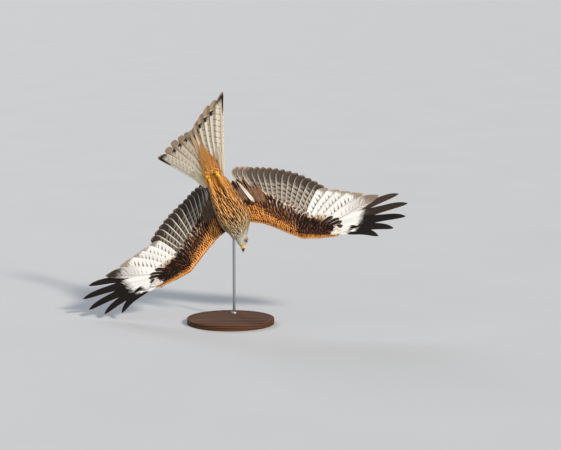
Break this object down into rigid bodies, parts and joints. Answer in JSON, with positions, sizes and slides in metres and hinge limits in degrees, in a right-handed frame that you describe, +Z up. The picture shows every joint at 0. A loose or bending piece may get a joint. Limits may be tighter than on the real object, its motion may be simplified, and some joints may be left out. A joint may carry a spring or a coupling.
{
  "type": "red kite bird model",
  "caption": "Life-size still model of a red kite banking in flight, wings spread and forked tail fanned, on a round base with one rod.",
  "frame": {"origin": "middle of the underside of the stand's round base", "axes": "+Z up, +X to the right across the spread wings as the picture sees them, +Y away from the viewer, who faces the belly"},
  "size_m": [1.343, 0.4648, 0.9502],
  "materials": {
    "body_plumage": "soft matt feathers, rufous with dark streaks",
    "neck_plumage": "soft matt feathers, buff and brown streaks",
    "head_plumage": "soft matt feathers, pale grey with fine streaks",
    "flight_feathers": "smooth satin feather vanes, brown, white and black",
    "tail_feathers": "smooth satin feather vanes, rufous above and cream below",
    "horn": "polished dark horn",
    "foot_skin": "scaly yellow skin",
    "eye": "wet gloss, pale amber iris",
    "base_wood": "oiled dark hardwood",
    "rod_steel": "brushed steel"
  },
  "bodies": {
    "root": {"torso": "body_plumage", "neck": "neck_plumage", "head": "head_plumage", "cere": "foot_skin", "bill_upper": "horn", "bill_lower": "horn", "eye_left": "eye", "eye_right": "eye", "wing_left": "flight_feathers", "wing_right": "flight_feathers", "tail": "tail_feathers", "leg_left": "body_plumage", "leg_right": "body_plumage", "foot_left": "foot_skin", "foot_right": "foot_skin", "claw_left_inner": "horn", "claw_left_middle": "horn", "claw_left_outer": "horn", "claw_left_hind": "horn", "claw_right_inner": "horn", "claw_right_middle": "horn", "claw_right_outer": "horn", "claw_right_hind": "horn", "stand_base": "base_wood", "stand_rod": "rod_steel", "stand_collar": "rod_steel"}
  },
  "joints": []
}
